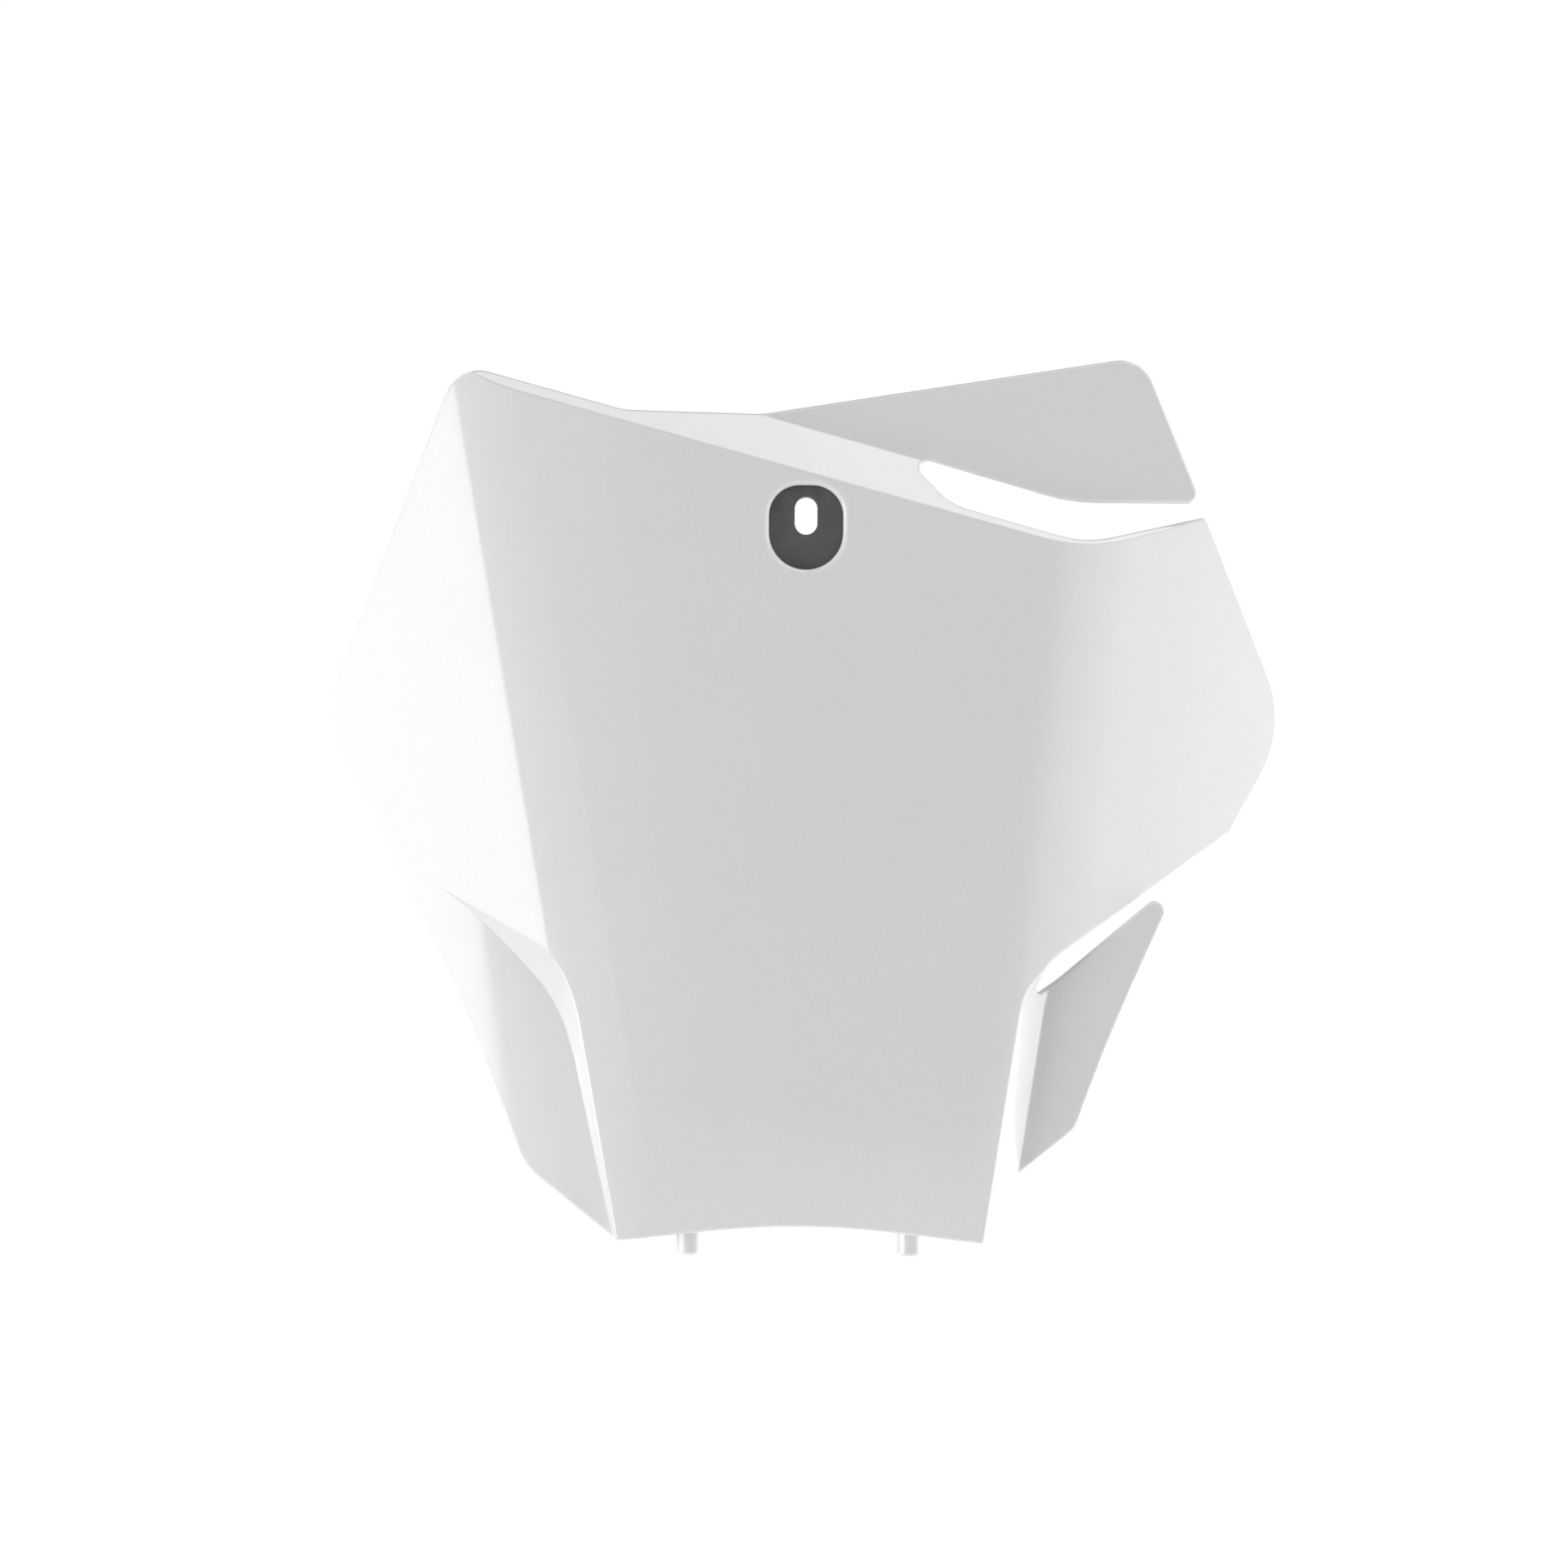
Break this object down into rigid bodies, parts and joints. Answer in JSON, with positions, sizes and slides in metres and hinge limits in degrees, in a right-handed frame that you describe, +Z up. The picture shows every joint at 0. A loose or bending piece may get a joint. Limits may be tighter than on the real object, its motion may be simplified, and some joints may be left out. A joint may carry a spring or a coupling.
{
  "type": "racing number board",
  "caption": "Thin moulded front number board with rolled-back side wings, set-back fins, slots between them, a recessed screw slot with a rubber grommet, and round pegs below.",
  "frame": {"origin": "centre of the screw slot on the rear face of the grommet, where the board seats on its bracket", "axes": "+X to the right of someone who looks at the face, +Y back through the board towards the motorcycle, +Z up; the face looks along -Y"},
  "size_m": [0.2864, 0.0329, 0.2688],
  "materials": {
    "plate": "glossy injection-moulded polypropylene, white",
    "grommet": "matte dark grey rubber"
  },
  "bodies": {
    "root": {"number_plate": "plate", "slot_grommet": "grommet"}
  },
  "joints": []
}
